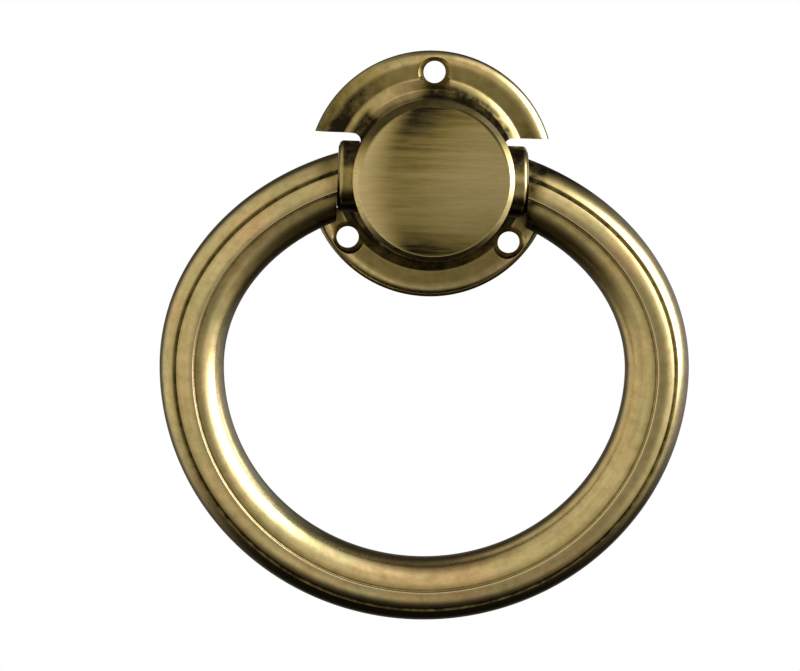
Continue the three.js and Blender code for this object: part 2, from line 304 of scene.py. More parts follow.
class Shader:
    """A node material, or the world, with short names for the nodes that this script uses."""

    def __init__(self, owner):
        owner.use_nodes = True
        self.nodes = owner.node_tree.nodes
        self.links = owner.node_tree.links
        self.nodes.clear()

    def feed(self, socket, value):
        if value is None:
            return
        if isinstance(value, (int, float)):
            socket.default_value = value
        elif isinstance(value, tuple):
            socket.default_value = (*value, 1.0) if len(socket.default_value) == 4 else value
        else:
            self.links.new(value, socket)

    def math(self, operation, a, b=None):
        node = self.nodes.new("ShaderNodeMath")
        node.operation = operation
        self.feed(node.inputs[0], a)
        self.feed(node.inputs[1], b)
        return node.outputs[0]

    def total(self, first, *others):
        for other in others:
            first = self.math("ADD", first, other)
        return first

    def product(self, first, *others):
        for other in others:
            first = self.math("MULTIPLY", first, other)
        return first

    def ramp(self, value, low, high, out_low=0.0, out_high=1.0, smooth=False):
        node = self.nodes.new("ShaderNodeMapRange")
        node.interpolation_type = "SMOOTHSTEP" if smooth else "LINEAR"
        node.inputs["From Min"].default_value = low
        node.inputs["From Max"].default_value = high
        node.inputs["To Min"].default_value = out_low
        node.inputs["To Max"].default_value = out_high
        self.links.new(value, node.inputs["Value"])
        return node.outputs["Result"]

    def mix(self, factor, a, b, mode="MIX"):
        node = self.nodes.new("ShaderNodeMix")
        node.data_type = "RGBA"
        node.blend_type = mode
        self.feed(node.inputs[0], factor)
        self.feed(node.inputs[6], a)
        self.feed(node.inputs[7], b)
        return node.outputs[2]

    def vector(self, operation, a, b=None):
        node = self.nodes.new("ShaderNodeVectorMath")
        node.operation = operation
        self.feed(node.inputs[0], a)
        self.feed(node.inputs[1], b)
        single = operation in ("DOT_PRODUCT", "LENGTH")
        return node.outputs["Value" if single else "Vector"]

    def noise(self, where, scale, detail, roughness, stretch=(1, 1, 1)):
        node = self.nodes.new("ShaderNodeTexNoise")
        node.inputs["Scale"].default_value = scale
        node.inputs["Detail"].default_value = detail
        node.inputs["Roughness"].default_value = roughness
        self.links.new(self.vector("MULTIPLY", where, stretch), node.inputs["Vector"])
        return node.outputs["Fac"]

    def crevices(self, distance, inside=False):
        """0 on open surface, towards 1 in corners or, with inside, along outer edges."""
        node = self.nodes.new("ShaderNodeAmbientOcclusion")
        node.samples = 8
        node.inside = inside
        node.only_local = inside
        node.inputs["Distance"].default_value = distance
        return self.math("SUBTRACT", 1.0, node.outputs["AO"])

    def drawn(self, name):
        """A value drawn on the mesh's vertices."""
        node = self.nodes.new("ShaderNodeAttribute")
        node.attribute_name = name
        return node.outputs["Fac"]

    def coordinates(self, name):
        return self.nodes.new("ShaderNodeTexCoord").outputs[name]

    def parts(self, vector):
        node = self.nodes.new("ShaderNodeSeparateXYZ")
        self.links.new(vector, node.inputs[0])
        return node.outputs


BRASS = (0.68, 0.555, 0.28)
RED_BRASS = (0.69, 0.50, 0.255)
GREEN_BRASS = (0.55, 0.485, 0.24)
SPECKLE_BROWN = (0.32, 0.23, 0.075)
LINE_BROWN = (0.33, 0.235, 0.08)
# Tarnish and patina colours, also used for painted shade
TARNISH_AND_PAINTED_SHADE = (0.29, 0.226, 0.074)
PATINA_AND_PAINTED_SHADE = (0.032, 0.020, 0.004)
# Colour of rubbed edges and of the painted highlight along the ring's lip
POLISHED_AND_PAINTED_HIGHLIGHT = (0.82, 0.68, 0.42)

# Light, dull and dirty colours of the machined metals
STEEL_COLOURS = ((0.50, 0.50, 0.48), (0.42, 0.40, 0.35), (0.09, 0.08, 0.06))
BUSH_COLOURS = ((0.42, 0.32, 0.15), (0.30, 0.22, 0.10), (0.04, 0.03, 0.015))


def ring_patina_and_painted_shade(s, _):
    """Patina where the polishing wheel doesn't reach, with painted shade and painted dark reflections, as
    drawn on the ring's mesh.
    """
    return s.drawn("patina_and_painted_shade")


def plate_patina_and_painted_shade(s, where):
    """In front, painted shade: black on the tier beside the hub, but for a painted highlight at its upper
    left, and dark at the tier's foot below the hub. Half dark on the land, more so at its left, and bright
    on the rounded edge, with painted shade along its top. Evenly dull behind."""
    x, y, z = s.parts(where)
    flat = s.vector("MULTIPLY", where, (1, 0, 1))
    radius = s.vector("LENGTH", flat)
    low = s.ramp(z, -16.0 * MM, 4.0 * MM, 1.0, 0.0, True)
    high = s.math("SUBTRACT", 1.0, low)
    upper_left = s.vector("DOT_PRODUCT", s.vector("NORMALIZE", flat), (-0.45, 0.0, 0.893))
    # A painted highlight on the tier at its upper left, where the tier's painted shade is lifted.
    outside_painted_highlight = s.ramp(upper_left, 0.92, 0.985, 1.0, 0.15, True)
    # Painted shade: black on the tier beside the hub, and dark at the tier's foot below it.
    tier_painted_shade = s.product(s.ramp(radius, 19.8 * MM, 22.0 * MM, 0.97, 0.1, True), outside_painted_highlight)
    tier_foot_painted_shade = s.product(s.ramp(radius, 21.4 * MM, 22.8 * MM, 0.88, 0.0, True), low)
    left = s.product(s.ramp(x, -26.0 * MM, -6.0 * MM, 0.65, 0.0, True), high)
    land = s.ramp(radius, 21.4 * MM, 22.4 * MM, 0.0, 0.55, True)
    right = s.ramp(x, 19.0 * MM, 24.0 * MM, 0.0, 0.25, True)
    edge = s.ramp(radius, 24.6 * MM, 25.8 * MM)
    inside = s.product(s.total(land, left, right), s.math("SUBTRACT", 1.0, edge))
    # Painted shade along the top of the rounded edge.
    outside = s.product(s.total(s.product(high, 0.16), left), edge)
    painted_shade_and_patina = s.math("MAXIMUM", s.math("MAXIMUM", tier_painted_shade, tier_foot_painted_shade), s.total(inside, outside))
    front = s.ramp(y, -0.9 * MM, -0.1 * MM, 1.0, 0.0)
    return s.total(s.product(painted_shade_and_patina, front), s.product(s.math("SUBTRACT", 1.0, front), 0.3))


def hub_painted_shade(s, where):
    """Painted shade, black all over the drum, and painted dark reflections over the top and foot of each
    collar, the left collar darker than the right.
    """
    x, _, z = s.parts(where)
    across = s.math("ABSOLUTE", x)
    # Painted shade: black over the drum.
    drum = s.ramp(across, 17.6 * MM, 18.6 * MM, 0.9, 0.0, True)
    # Painted shade on the left collar, and painted dark reflections over the top and foot of each collar.
    middle = s.ramp(x, -1.0 * MM, 1.0 * MM, 0.6, 0.25)
    upper = s.ramp(z, PIVOT.z + 0.5 * MM, PIVOT.z + 3.6 * MM, 0.0, 0.98, True)
    top = s.math("MAXIMUM", middle, upper)
    foot = s.ramp(z, PIVOT.z - 6.4 * MM, PIVOT.z - 3.6 * MM, 0.95, 0.0, True)
    rim = s.ramp(across, COLLAR_FACE - 1.1 * MM, COLLAR_FACE - 0.6 * MM, 1.0, 0.4)
    collar = s.product(s.total(top, foot), rim)
    return s.math("MAXIMUM", drum, collar)


def cap_patina_and_painted_shade(s, where):
    """Clean down the left and to the right, darker towards the top and dark towards the foot of the face,
    with brushing streaks. Painted shade at the foot, and painted dark reflections just right of the clean
    left band and over the top of the rim.
    """
    x, _, z = s.parts(where)
    wave = s.ramp(s.noise(where, 70.0, 3.0, 0.6, (0.12, 1, 1)), 0.3, 0.7, -1.0 * MM, 1.0 * MM)
    height = s.total(z, wave, s.product(x, -0.12))
    # Darker towards the top.
    darker_towards_top = s.ramp(height, -1.0 * MM, 13.0 * MM, 0.0, 0.28, True)
    top = s.ramp(height, 8.0 * MM, 17.5 * MM, 0.0, 0.32, True)
    # Painted shade towards the foot of the face.
    foot = s.ramp(height, -18.0 * MM, -5.0 * MM, 0.60, 0.0, True)
    bowed = s.total(x, s.product(z, z, -20.0))
    left = s.ramp(bowed, -16.5 * MM, -8.5 * MM, 0.0, 1.0, True)
    # A painted dark reflection, darkest just right of the clean left band and fading to the right.
    shade = s.ramp(x, -8.0 * MM, 11.0 * MM, 0.40, 0.0, True)
    coarse = s.ramp(s.noise(where, 240.0, 4.0, 0.7, (0.07, 1, 1)), 0.35, 0.7, 0.0, 0.12)
    fine = s.ramp(s.noise(where, 900.0, 4.0, 0.75, (0.06, 1, 1)), 0.42, 0.62, 0.0, 0.16)
    streaks = s.total(coarse, fine)
    radius = s.vector("LENGTH", s.vector("MULTIPLY", where, (1, 0, 1)))
    face = s.ramp(radius, 16.3 * MM, 17.0 * MM, 1.0, 0.15, True)
    rim = s.ramp(radius, 15.8 * MM, 16.5 * MM)
    # A painted dark reflection over the top of the bevelled rim.
    crown = s.product(s.ramp(z, 1.0 * MM, 11.0 * MM, 0.0, 0.93, True), rim)
    painted_shade_and_patina = s.product(s.total(darker_towards_top, top, foot, shade, streaks), left, face)
    return s.math("MAXIMUM", crown, painted_shade_and_patina)


def antique_brass(name, patina_and_painted_shade, grain, grain_scale, roughness, anisotropy=0.0, coordinates="Object",
                  bump=0.04, speckle=0.35, wear=0.55, tint=1.0):
    """Burnished brass: bright where it was polished, dark patina left in corners and grooves, with painted
    shade and painted highlights from the patina function and the drawn lip line.
    grain is how far the polishing lines are stretched along each axis of the coordinates, wear how
    bright the rubbed edges are and tint how strongly the colour drifts."""
    material = bpy.data.materials.new(name)
    s = Shader(material)
    where = s.coordinates("Object")
    along = s.coordinates(coordinates)

    lines = s.noise(along, grain_scale, 3.0, 0.7, grain)
    mottle = s.noise(where, 420.0, 5.0, 0.62)
    cloud = s.noise(where, 95.0, 3.0, 0.5)
    drift = s.noise(s.vector("ADD", where, (0.3, 0.1, 0.2)), 70.0, 2.0, 0.5)
    corners = s.ramp(s.crevices(1.8 * MM), 0.30, 0.80, 0.0, 0.8)
    edges = s.ramp(s.crevices(0.45 * MM, inside=True), 0.42, 0.80)

    # Patina in the corners, plus the patina and painted shade from the patina function.
    darkening = s.total(patina_and_painted_shade(s, where), corners)
    uneven = s.product(darkening, s.ramp(mottle, 0.3, 0.7, 1.0 - 0.5 * speckle, 1.0 + 0.3 * speckle))
    dark = s.math("MAXIMUM", s.math("MINIMUM", uneven, 1.0), 0.0)

    red = s.mix(s.ramp(cloud, 0.42, 0.68, 0.0, tint), BRASS, RED_BRASS)
    green = s.mix(s.ramp(drift, 0.45, 0.72, 0.0, tint), red, GREEN_BRASS)
    speckled = s.mix(s.ramp(mottle, 0.42, 0.78, 0.0, speckle), green, SPECKLE_BROWN)
    lined = s.mix(s.ramp(lines, 0.38, 0.72, 0.0, 0.35), speckled, LINE_BROWN)
    # Tarnish and patina colours over the dark mask, which also paints shade.
    tarnish_with_painted_shade = s.mix(s.ramp(dark, 0.0, 0.6), lined, TARNISH_AND_PAINTED_SHADE)
    aged_with_painted_shade = s.mix(s.ramp(dark, 0.6, 1.0), tarnish_with_painted_shade, PATINA_AND_PAINTED_SHADE)
    # Rubbed edges are wear; the drawn lip line is also a painted highlight.
    rubbed_and_painted_highlight = s.math("MAXIMUM", s.product(edges, wear), s.product(s.drawn("polish_and_painted_highlight"), 0.8))
    wear_and_painted_light = s.mix(rubbed_and_painted_highlight, aged_with_painted_shade, POLISHED_AND_PAINTED_HIGHLIGHT)

    clean_gloss = s.ramp(lines, 0.3, 0.7, roughness - 0.03, roughness + 0.07)
    gloss = s.total(clean_gloss, s.product(dark, 0.16))

    relief = s.nodes.new("ShaderNodeBump")
    relief.inputs["Strength"].default_value = bump
    relief.inputs["Distance"].default_value = 0.05 * MM
    s.feed(relief.inputs["Height"], lines)

    surface = s.nodes.new("ShaderNodeBsdfPrincipled")
    surface.inputs["Metallic"].default_value = 1.0
    surface.inputs["Anisotropic"].default_value = anisotropy
    surface.inputs["Coat Weight"].default_value = 0.25
    surface.inputs["Coat Roughness"].default_value = 0.15
    s.feed(surface.inputs["Base Color"], wear_and_painted_light)
    s.feed(surface.inputs["Roughness"], gloss)
    s.feed(surface.inputs["Normal"], relief.outputs["Normal"])
    if anisotropy:
        tangent = s.nodes.new("ShaderNodeTangent")
        tangent.direction_type = "UV_MAP"
        tangent.uv_map = "UVMap"
        s.feed(surface.inputs["Tangent"], tangent.outputs["Tangent"])
    output = s.nodes.new("ShaderNodeOutputMaterial")
    s.feed(output.inputs["Surface"], surface.outputs["BSDF"])
    return material


def plain_metal(name, colours, low_gloss, high_gloss):
    """A machined metal for screws, washers and bushes: cloudy, finely grained, dirty in its corners."""
    light, dull, darkening = colours
    material = bpy.data.materials.new(name)
    s = Shader(material)
    where = s.coordinates("Object")
    fine = s.noise(where, 900.0, 4.0, 0.6)
    cloud = s.noise(where, 260.0, 2.0, 0.5)
    corners = s.crevices(0.7 * MM)
    base = s.mix(s.ramp(cloud, 0.3, 0.7), light, dull)
    dirty = s.mix(s.ramp(corners, 0.3, 0.9, 0.0, 0.85), base, darkening)
    surface = s.nodes.new("ShaderNodeBsdfPrincipled")
    surface.inputs["Metallic"].default_value = 1.0
    s.feed(surface.inputs["Base Color"], dirty)
    s.feed(surface.inputs["Roughness"], s.ramp(fine, 0.3, 0.7, low_gloss, high_gloss))
    output = s.nodes.new("ShaderNodeOutputMaterial")
    s.feed(output.inputs["Surface"], surface.outputs["BSDF"])
    return material


# ---------- ring ----------

def section_radius(angle):
    """The bar's radius at an angle from the outward direction, 0 to 180 degrees, front or back."""
    def step(low, high):
        share = min(1.0, max(0.0, (angle - low) / (high - low)))
        return share * share * (3 - 2 * share)

    inner_start = REED_END_ANGLE + REED_STEP_ANGLE
    share = max(0.0, (angle - inner_start) / (180 - inner_start))
    inner = INNER_RADIUS + (BAR_RADIUS - INNER_RADIUS) * math.sin(share * math.pi / 2)
    outer = BAR_RADIUS + (REED_RADIUS - BAR_RADIUS) * step(GROOVE_ANGLE - 1, GROOVE_ANGLE + 1)
    radius = outer + (inner - outer) * step(REED_END_ANGLE, inner_start)
    away = abs(angle - GROOVE_ANGLE) / GROOVE_HALF_ANGLE
    if away < 1:
        radius -= GROOVE_DEPTH * (0.5 + 0.5 * math.cos(math.pi * away))
    return radius


def bump_at(value, centre, width):
    """1 at the centre, falling off smoothly over the width to either side."""
    return math.exp(-((value - centre) / width) ** 2)


def section_patina_and_painted_shade(angle, distance, sign, low):
    """Patina in the groove and at the reed's foot, with painted shade: the groove darker and wider towards
    the bottom, a painted step shadow at the foot, painted shade beside the collar, distance away, and under
    the bar, and a painted dark reflection on the outer side near the collars. low is 1 at the bottom of the
    ring, where the groove is darkest."""
    # Patina in the groove, with painted shade making it darker and wider towards the bottom.
    groove = (0.86 + 0.14 * low) * bump_at(angle, GROOVE_ANGLE - low, 4.8 + 2.5 * low)
    past_foot = angle - REED_END_ANGLE - REED_STEP_ANGLE
    # Patina and a painted step shadow at the reed's foot.
    foot = 0.65 * bump_at(past_foot, 1.6, 1.8) + 0.22 * bump_at(past_foot, 6, 5)
    # Painted shade beside the collar, heavier at the right.
    beside = (0.85 if sign > 0 else 0.5) * bump_at(distance, 0, 2.2 * MM)
    # A painted dark reflection on the outer side near the collars, mostly at the right.
    outermost = (1.6 if sign > 0 else 0.25) * bump_at(distance, 0, 14 * MM) * bump_at(angle, 0, 32)
    # Painted shade under the bar near the collars.
    under = bump_at(distance, 0, 19 * MM) * bump_at(max(0.0, 145 - angle), 0, 32)
    return min(1.0, groove + foot + beside + outermost + under)


def section_polish_and_painted_highlight(angle):
    """Rubbed bright along the reed's lip: edge wear, and a painted highlight where the lip's rounded edge
    catches light.
    """
    return bump_at(angle, REED_END_ANGLE + 0.4, 1.9)


def section_angles():
    groove = np.arange(GROOVE_ANGLE - 5, GROOVE_ANGLE + 5.01, 0.5)
    reed_end = np.arange(REED_END_ANGLE - 3, REED_END_ANGLE + REED_STEP_ANGLE + 4.01, 0.4)
    fine = {round(float(a), 2) for a in (*groove, *reed_end)}
    coarse = {float(a) for a in range(0, 181, 3) if all(abs(a - b) > 0.3 for b in fine)}
    front = sorted(coarse | fine)
    return front + [360 - a for a in reversed(front[1:-1])]


def ring_point(angle, half_width, centre_z):
    half_height = UPPER_RISE if math.sin(angle) > 0 else LOWER_DROP
    return Vector((half_width * math.cos(angle), PIVOT.y, centre_z + half_height * math.sin(angle)))


def ring_line():
    """The bar's centre line from the left collar round to the right one, a little too long at both
    ends, and the height of the ring's widest place."""
    half_width = RING_HIGH.x - BAR_RADIUS
    face_angle = math.acos(RING_END / half_width)
    end_angle = math.acos((RING_END - RING_END_SPARE) / half_width)
    centre_z = PIVOT.z - RING_END_DROP - UPPER_RISE * math.sin(face_angle)
    line_angles = np.linspace(math.pi - end_angle, 2 * math.pi + end_angle, RING_STATIONS)
    return [ring_point(a, half_width, centre_z) for a in line_angles], centre_z


def ring():
    line, centre_z = ring_line()
    travelled = [0.0]
    for before, after in zip(line, line[1:]):
        travelled.append(travelled[-1] + (after - before).length)
    angles = section_angles()
    vertices = []
    patina_and_painted_shade = []
    polish_and_painted_highlight = []
    marks = []
    for i, point in enumerate(line):
        tangent = (line[min(i + 1, RING_STATIONS - 1)] - line[max(i - 1, 0)]).normalized()
        outward = Vector((tangent.z, 0, -tangent.x))
        upper = point.z > centre_z
        distance = abs(point.x) - RING_END if upper else 1.0
        low = max(0.0, centre_z - point.z) / LOWER_DROP
        for angle in angles:
            folded = angle if angle <= 180 else 360 - angle
            radius = section_radius(folded)
            turn = math.radians(angle)
            front = Vector((0, -1, 0)) * (radius * math.sin(turn))
            vertices.append(point + front + outward * (radius * math.cos(turn)))
            patina_and_painted_shade.append(section_patina_and_painted_shade(folded, distance, point.x, low))
            polish_and_painted_highlight.append(section_polish_and_painted_highlight(folded))
            marks.append((travelled[i] * UV_SCALE, turn * BAR_RADIUS * UV_SCALE))
    around = len(angles)
    faces = []
    for i in range(RING_STATIONS - 1):
        for j in range(around):
            k = (j + 1) % around
            faces.append((i * around + j, i * around + k, (i + 1) * around + k, (i + 1) * around + j))
    piece = mesh_object("ring_body", vertices, faces)
    for name, values in (("patina_and_painted_shade", patina_and_painted_shade), ("polish_and_painted_highlight", polish_and_painted_highlight)):
        attribute = piece.data.attributes.new(name, "FLOAT", "POINT")
        attribute.data.foreach_set("value", values)
    unroll(piece, marks, around)
    cut_ring_ends(piece)
    boolean(piece, [tool for _, sign in SIDES for tool in ring_end_holes(sign)])
    return piece


def unroll(piece, marks, around):
    """Lays the bar's surface out flat: along the bar is u and round it is v."""
    layer = piece.data.uv_layers.new(name="UVMap")
    full_turn = 2 * math.pi * BAR_RADIUS * UV_SCALE
    for face in piece.data.polygons:
        for corner in face.loop_indices:
            index = piece.data.loops[corner].vertex_index
            u, v = marks[index]
            if index % around == 0 and face.index % around == around - 1:
                v = full_turn
            layer.data[corner].uv = (u, v)


def cut_ring_ends(piece):
    """Cuts both ends by upright planes that face the collars, and closes them."""
    work = bmesh.new()
    work.from_mesh(piece.data)
    for sign in (-1, 1):
        near = {v for v in work.verts if v.co.z > COLLAR_ZONE and v.co.x * sign > 0}
        region = [v for v in work.verts if v in near]
        region += [e for e in work.edges if all(v in near for v in e.verts)]
        region += [f for f in work.faces if all(v in near for v in f.verts)]
        cut = bmesh.ops.bisect_plane(
            work, geom=region, plane_co=(sign * RING_END, 0, 0), plane_no=(-sign, 0, 0),
            clear_outer=True)
        rim = [e for e in cut["geom_cut"] if isinstance(e, bmesh.types.BMEdge)]
        bmesh.ops.edgeloop_fill(work, edges=rim)
    bmesh.ops.recalc_face_normals(work, faces=work.faces)
    work.to_mesh(piece.data)
    work.free()


def ring_end_holes(sign):
    """The bores for the pivot screw's shoulder and thread, and the set screw's hole behind."""
    side = "left" if sign < 0 else "right"
    screw_low, screw_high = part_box(f"{side}_set_screw")
    middle = (screw_low + screw_high) / 2
    inside = RING_END - 1 * MM
    thread_end = max(abs(v.x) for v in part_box(f"{side}_pivot_screw")) + GAP
    radius = (screw_high.x - screw_low.x) / 2 + 0.1 * MM
    return [
        bar("hole", PIVOT_THREAD_RADIUS + GAP, inside, thread_end, "X", PIVOT, sign, 48),
        bar("hole", SHOULDER_RADIUS + GAP, inside, SHOULDER_END + GAP, "X", PIVOT, sign, 48),
        bar("hole", radius, PIVOT.y, 0, "Y", (middle.x, 0, middle.z), segments=48),
    ]


# ---------- backplate ----------

def notch(sign):
    outer = PLATE_RADIUS + OVERSHOOT
    outer_drop = NOTCH_DROP + NOTCH_DROP_SLANT * (outer - NOTCH_INNER)
    corners = [
        (outer, NOTCH_RISE), (NOTCH_INNER, NOTCH_RISE), (NOTCH_INNER, -NOTCH_DROP), (outer, -outer_drop),
    ]
    outline = rounded(corners, [0, NOTCH_CORNER, NOTCH_LOWER_CORNER, 0], 8)
    placed = [(sign * p.x, p.y + PIVOT.z) for p in outline]
    return prism("notch", placed, -NOTCH_CUT, NOTCH_CUT)


def screw_hole(angle):
    turn = math.radians(angle)
    x = SCREW_CIRCLE_RADIUS * math.cos(turn)
    z = SCREW_CIRCLE_RADIUS * math.sin(turn) + SCREW_CIRCLE_Z
    profile = [
        (0, OVERSHOOT),
        (SCREW_HOLE_RADIUS, OVERSHOOT),
        (SCREW_HOLE_RADIUS, -LAND_HEIGHT + COUNTERSINK_DEPTH),
        (COUNTERSINK_RADIUS, -LAND_HEIGHT),
        (COUNTERSINK_RADIUS, CUT_FRONT),
        (0, CUT_FRONT),
    ]
    return lathe("hole", profile, 64, centre=(x, 0, z))


def fixing_places():
    """Where the four machine screws stand, by node name."""
    names = ("upper_hub_screw", "lower_hub_screw", "left_cap_screw", "right_cap_screw")
    return {name: (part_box(name)[0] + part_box(name)[1]) / 2 for name in names}


def fixing_hole(place):
    profile = [
        (0, OVERSHOOT),
        (FIXING_POCKET_RADIUS, OVERSHOOT),
        (FIXING_POCKET_RADIUS, -FIXING_POCKET_DEPTH),
        (FIXING_HOLE_RADIUS, -FIXING_POCKET_DEPTH),
        (FIXING_HOLE_RADIUS, CUT_FRONT),
        (0, CUT_FRONT),
    ]
    return lathe("hole", profile, 48, centre=(place.x, 0, place.z))


def plate_profile():
    """From the middle of the back round the rim to the middle of the front."""
    points = rounded([(0, 0), (PLATE_RADIUS, 0), (PLATE_RADIUS, -PLATE_RIM)], [0, 0.2 * MM, 0])
    steps = 14
    for k in range(1, steps + 1):
        turn = math.pi / 2 * k / steps
        radius = LAND_RADIUS + (PLATE_RADIUS - LAND_RADIUS) * math.cos(turn)
        points.append(Vector((radius, -PLATE_RIM - (LAND_HEIGHT - PLATE_RIM) * math.sin(turn))))
    inner = [
        (LAND_RADIUS, -LAND_HEIGHT), (TIER_FOOT_RADIUS, -LAND_HEIGHT), (TIER_RADIUS, -TIER_HEIGHT),
        (0, -TIER_HEIGHT),
    ]
    return points + rounded(inner, [0, 0.9 * MM, 0.7 * MM, 0], 6)[1:]


def backplate():
    piece = lathe("backplate_body", plate_profile(), 256)
    tools = [notch(sign) for _, sign in SIDES]
    tools += [screw_hole(angle) for angle in SCREW_ANGLES]
    tools += [fixing_hole(place) for place in fixing_places().values()]
    boolean(piece, tools)
    soften_edges(piece, PLATE_BEVEL)
    return piece


# ---------- hub ----------

def collar(sign):
    corners = [
        (0, COLLAR_START), (COLLAR_RADIUS, COLLAR_START), (COLLAR_RADIUS, COLLAR_FACE), (0, COLLAR_FACE),
    ]
    return lathe("collar", rounded(corners, [0, 0, COLLAR_CHAMFER, 0], 8), 128, "X", PIVOT, sign)


def bush_seats(sign):
    """The bore for the bush, the recess for its flange and the flat seat inside the drum."""
    side = "left" if sign < 0 else "right"
    low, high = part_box(f"{side}_bush")
    flange_radius = (high.z - low.z) / 2
    flange_back = max(abs(low.x), abs(high.x)) - BUSH_FLANGE
    beyond = COLLAR_FACE + 1 * MM
    return [
        bar("hole", BUSH_RADIUS + GAP / 2, BUSH_BORE_START, beyond, "X", PIVOT, sign),
        bar("hole", flange_radius + GAP / 2, flange_back - GAP, beyond, "X", PIVOT, sign, 96),
        bar("hole", SPOT_FACE_RADIUS, BUSH_BORE_START, SPOT_FACE, "X", PIVOT, sign),
    ]


def hub():
    corners = [(0, HUB_BACK), (HUB_RADIUS, HUB_BACK), (HUB_RIM_RADIUS, HUB_FRONT), (0, HUB_FRONT)]
    piece = lathe("hub_body", rounded(corners, [0, 0.2 * MM, 0.3 * MM, 0]), 192)
    boolean(piece, [collar(sign) for _, sign in SIDES], "UNION")
    cavity = bar("cavity", HUB_CAVITY_RADIUS, HUB_BACK + OVERSHOOT, HUB_FRONT - OVERSHOOT, "Y", (0, 0, 0),
                 segments=128)
    boolean(piece, [cavity])
    places = [place for name, place in fixing_places().items() if "hub" in name]
    lugs = []
    for place in places:
        lug = bar("lug", LUG_RADIUS, HUB_BACK, LUG_FRONT, "Y", (place.x, 0, place.z))
        drum = bar("drum", HUB_RADIUS - 1 * MM, 0, LUG_FRONT - 1 * MM, "Y", (0, 0, 0))
        boolean(lug, [drum], "INTERSECT")
        lugs.append(lug)
    boolean(piece, lugs, "UNION")
    hole_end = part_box("upper_hub_screw")[0].y - 1 * MM
    holes = [bar("hole", FIXING_HOLE_RADIUS, 0, hole_end, "Y", (p.x, 0, p.z)) for p in places]
    boolean(piece, holes + [tool for _, sign in SIDES for tool in bush_seats(sign)])
    soften_edges(piece, HUB_BEVEL, 40)
    return piece


# ---------- cap ----------

def cap_profile():
    """A slightly domed disc with a bevelled rim, and a spigot behind."""
    spigot_back = CAP_BACK + SPIGOT_DEPTH
    rim = CAP_FRONT + CAP_DOME_RISE
    corners = [
        (0, spigot_back),
        (SPIGOT_RADIUS, spigot_back),
        (SPIGOT_RADIUS, CAP_BACK),
        (CAP_RADIUS, CAP_BACK),
        (CAP_RADIUS, rim + CAP_CHAMFER_DEPTH),
        (CAP_DOME_RADIUS, rim),
        (CAP_DOME_RADIUS - 1 * MM, rim - 0.08 * MM),
    ]
    profile = rounded(corners, [0, 0.2 * MM, 0, 0.15 * MM, 0.35 * MM, 0.35 * MM, 0], 6)[:-1]
    last = profile[-1].x
    for k in range(CAP_DOME_RINGS - 1, -1, -1):
        share = k / CAP_DOME_RINGS
        fall = CAP_DOME_RISE * (last * share / CAP_DOME_RADIUS) ** 2
        profile.append((last * share, CAP_FRONT + fall))
    return profile


def cap():
    piece = lathe("cap_body", cap_profile(), 256)
    places = [place for name, place in fixing_places().items() if "cap" in name]
    back = CAP_HIGH.y
    posts = [bar("post", POST_RADIUS, back, CAP_BACK - 1 * MM, "Y", (p.x, 0, p.z)) for p in places]
    boolean(piece, posts, "UNION")
    hole_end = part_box("left_cap_screw")[0].y - 1 * MM
    boolean(piece, [bar("hole", FIXING_HOLE_RADIUS, 0, hole_end, "Y", (p.x, 0, p.z)) for p in places])
    layer = piece.data.uv_layers.new(name="UVMap")
    for loop in piece.data.loops:
        where = piece.data.vertices[loop.vertex_index].co
        layer.data[loop.index].uv = (where.x * UV_SCALE, where.z * UV_SCALE)
    return piece


# ---------- screws, washers, bushes ----------

def thread(radius, start, end):
    """Ridges of a screw thread from start to end, as profile points."""
    direction = 1 if end > start else -1
    count = int(abs(end - start) / THREAD_PITCH)
    points = []
    for k in range(count):
        crest = start + direction * (k + 0.5) * THREAD_PITCH
        points.append((radius, crest - direction * THREAD_CREST))
        points.append((radius, crest + direction * THREAD_CREST))
        points.append((radius - THREAD_DEPTH, crest + direction * THREAD_FLANK))
    points.append((radius - THREAD_DEPTH, end))
    return points


def hexagon(name, x, z, open_end, closed_end):
    """A hexagon socket's cutter along Y."""
    turns = [k * math.pi / 3 for k in range(6)]
    outline = [(x + SOCKET_RADIUS * math.cos(t), z + SOCKET_RADIUS * math.sin(t)) for t in turns]
    return prism(name, outline, open_end, closed_end)


def fixing_screw(node, place):
    """A pan-headed machine screw driven in from the door side."""
    low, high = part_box(node)
    head_radius = (high.x - low.x) / 2
    seat = -FIXING_POCKET_DEPTH + GAP
    root = FIXING_RADIUS - THREAD_DEPTH
    corners = [(0, high.y), (head_radius, high.y), (head_radius, seat), (root, seat)]
    profile = rounded(corners, [0, 0.5 * MM, 0.1 * MM, 0])
    profile += thread(FIXING_RADIUS, seat - THREAD_STOP, low.y + THREAD_STOP)
    profile += [(FIXING_RADIUS - FIXING_TIP_TAPER, low.y), (0, low.y)]
    piece = lathe(f"{node}_body", profile, 48, centre=(place.x, 0, place.z))
    boolean(piece, [hexagon("socket", place.x, place.z, high.y + 1 * MM, high.y - SOCKET_DEPTH)])
    return piece


def set_screw(side):
    low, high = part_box(f"{side}_set_screw")
    middle = (low + high) / 2
    radius = (high.x - low.x) / 2
    profile = [(0, high.y), (radius - THREAD_DEPTH, high.y)]
    profile += thread(radius, high.y - 0.1 * MM, low.y + THREAD_STOP)
    profile += [(radius - TIP_TAPER, low.y), (0, low.y)]
    piece = lathe(f"{side}_set_screw_body", profile, 40, centre=(middle.x, 0, middle.z))
    boolean(piece, [hexagon("socket", middle.x, middle.z, high.y + 1 * MM, high.y - SOCKET_DEPTH)])
    return piece


